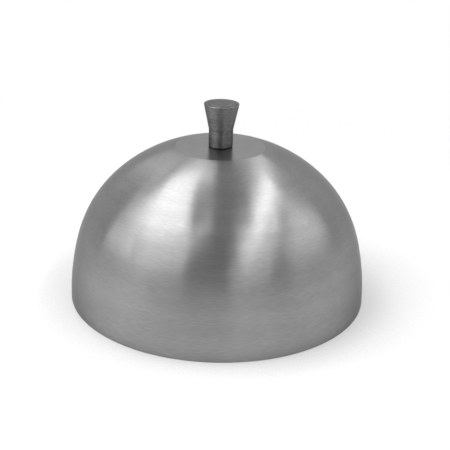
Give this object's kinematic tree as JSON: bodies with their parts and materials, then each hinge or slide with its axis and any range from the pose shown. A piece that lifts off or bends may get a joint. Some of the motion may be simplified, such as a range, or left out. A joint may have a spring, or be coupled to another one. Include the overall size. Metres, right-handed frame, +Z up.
{
  "type": "melting dome",
  "caption": "Round stainless steel dome with a flat top and a flared turned knob, set over food on a hot plate to hold in heat and steam.",
  "frame": {"origin": "centre of the rim, on the surface that the dome stands on", "axes": "+Z up along the dome's axis, towards the knob; X and Y are free, because the dome is round"},
  "size_m": [0.22, 0.22, 0.1455],
  "materials": {
    "satin_steel": "brushed round the dome, satin",
    "turned_steel": "fine turned",
    "black_seal": "matt",
    "fastener_steel": "plain rolled"
  },
  "bodies": {
    "root": {"dome_shell": "satin_steel", "seal_washer": "black_seal", "knob_collar": "turned_steel", "knob_grip": "turned_steel", "flat_washer": "fastener_steel", "spring_washer": "fastener_steel", "knob_screw": "fastener_steel"}
  },
  "joints": []
}
